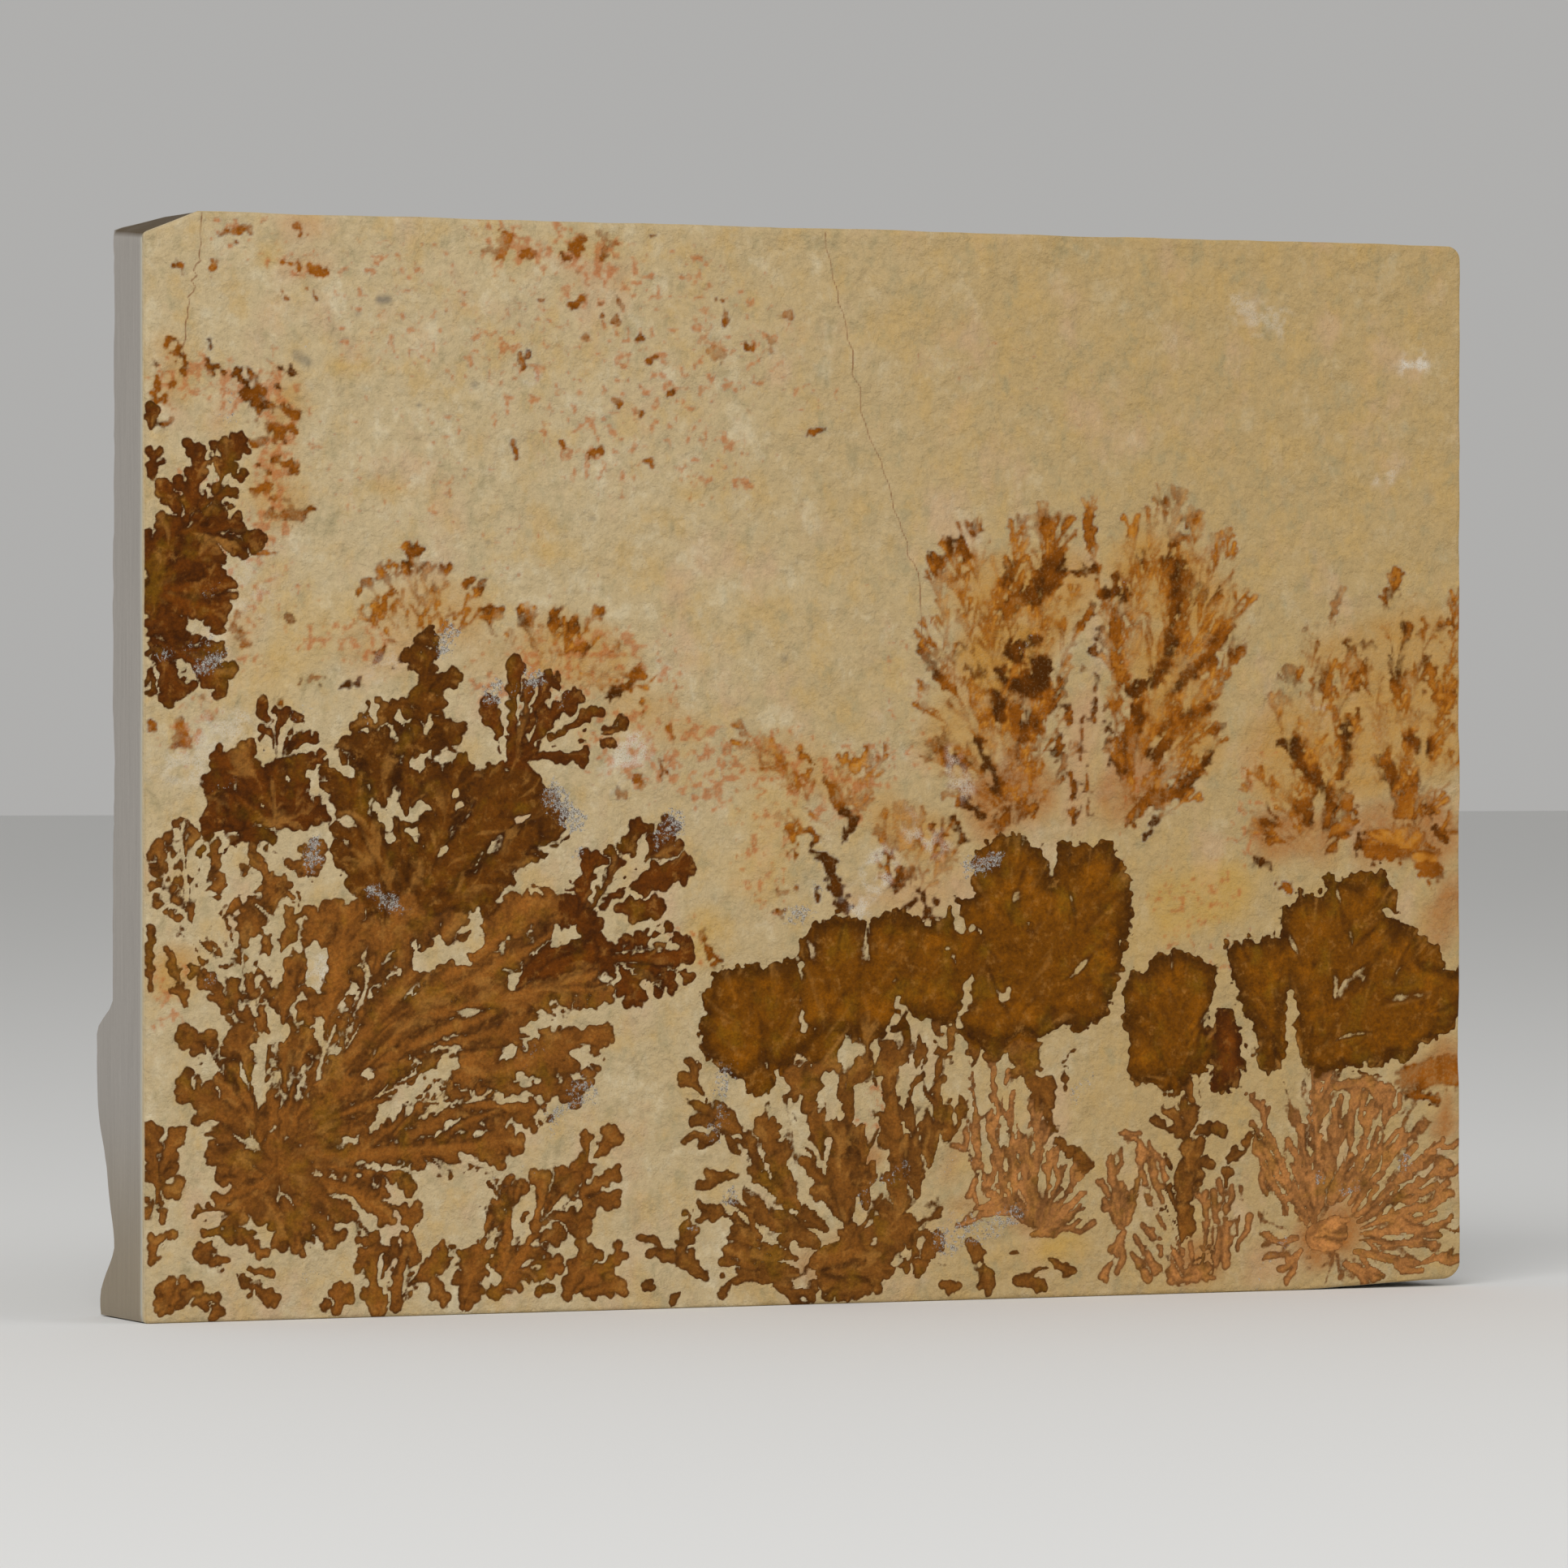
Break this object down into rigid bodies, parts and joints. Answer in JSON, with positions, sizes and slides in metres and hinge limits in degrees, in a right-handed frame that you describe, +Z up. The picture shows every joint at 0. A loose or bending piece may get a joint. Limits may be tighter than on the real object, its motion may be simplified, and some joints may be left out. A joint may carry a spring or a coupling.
{
  "type": "pyrolusite dendrite specimen",
  "caption": "Sawn upright slab of bedded limestone with fern-like mineral dendrites on its front bedding face and a rough split back.",
  "frame": {"origin": "on the sawn base, in the middle of the slab's width and depth", "axes": "+X along the face to its right end, +Y from the face to the split back, +Z up; the slab stands on its long sawn edge"},
  "size_m": [0.1341, 0.0134, 0.1001],
  "materials": {
    "limestone": "matte"
  },
  "bodies": {
    "root": {"slab": "limestone"}
  },
  "joints": []
}
